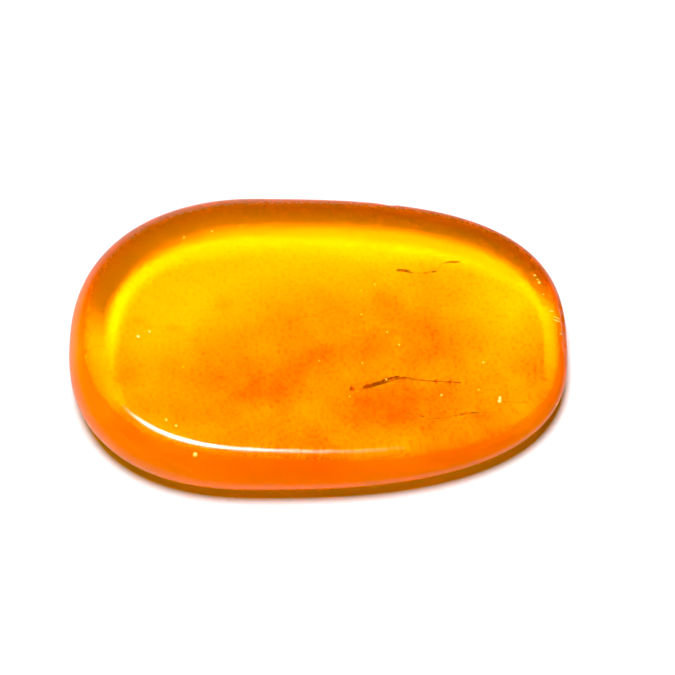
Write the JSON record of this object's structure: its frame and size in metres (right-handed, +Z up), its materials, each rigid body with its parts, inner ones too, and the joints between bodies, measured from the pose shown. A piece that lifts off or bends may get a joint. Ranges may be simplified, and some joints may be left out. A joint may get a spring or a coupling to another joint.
{
  "type": "insect in amber",
  "caption": "Polished egg-shaped amber pebble lying flat, clear golden orange, with a slender dark insect and plant threads sealed inside it.",
  "frame": {"origin": "under the middle of the stone, on the surface it lies on", "axes": "+X along the length to the narrower end, +Y away from the fuller long side, +Z up from the flat base"},
  "size_m": [0.0338, 0.0222, 0.0053],
  "materials": {
    "amber": "polished",
    "insect_chitin": "satin",
    "plant_fibre": "matte"
  },
  "bodies": {
    "root": {"amber_top": "amber", "amber_base": "amber", "insect": "insect_chitin", "thread_far": "plant_fibre", "thread_near": "plant_fibre"}
  },
  "joints": []
}
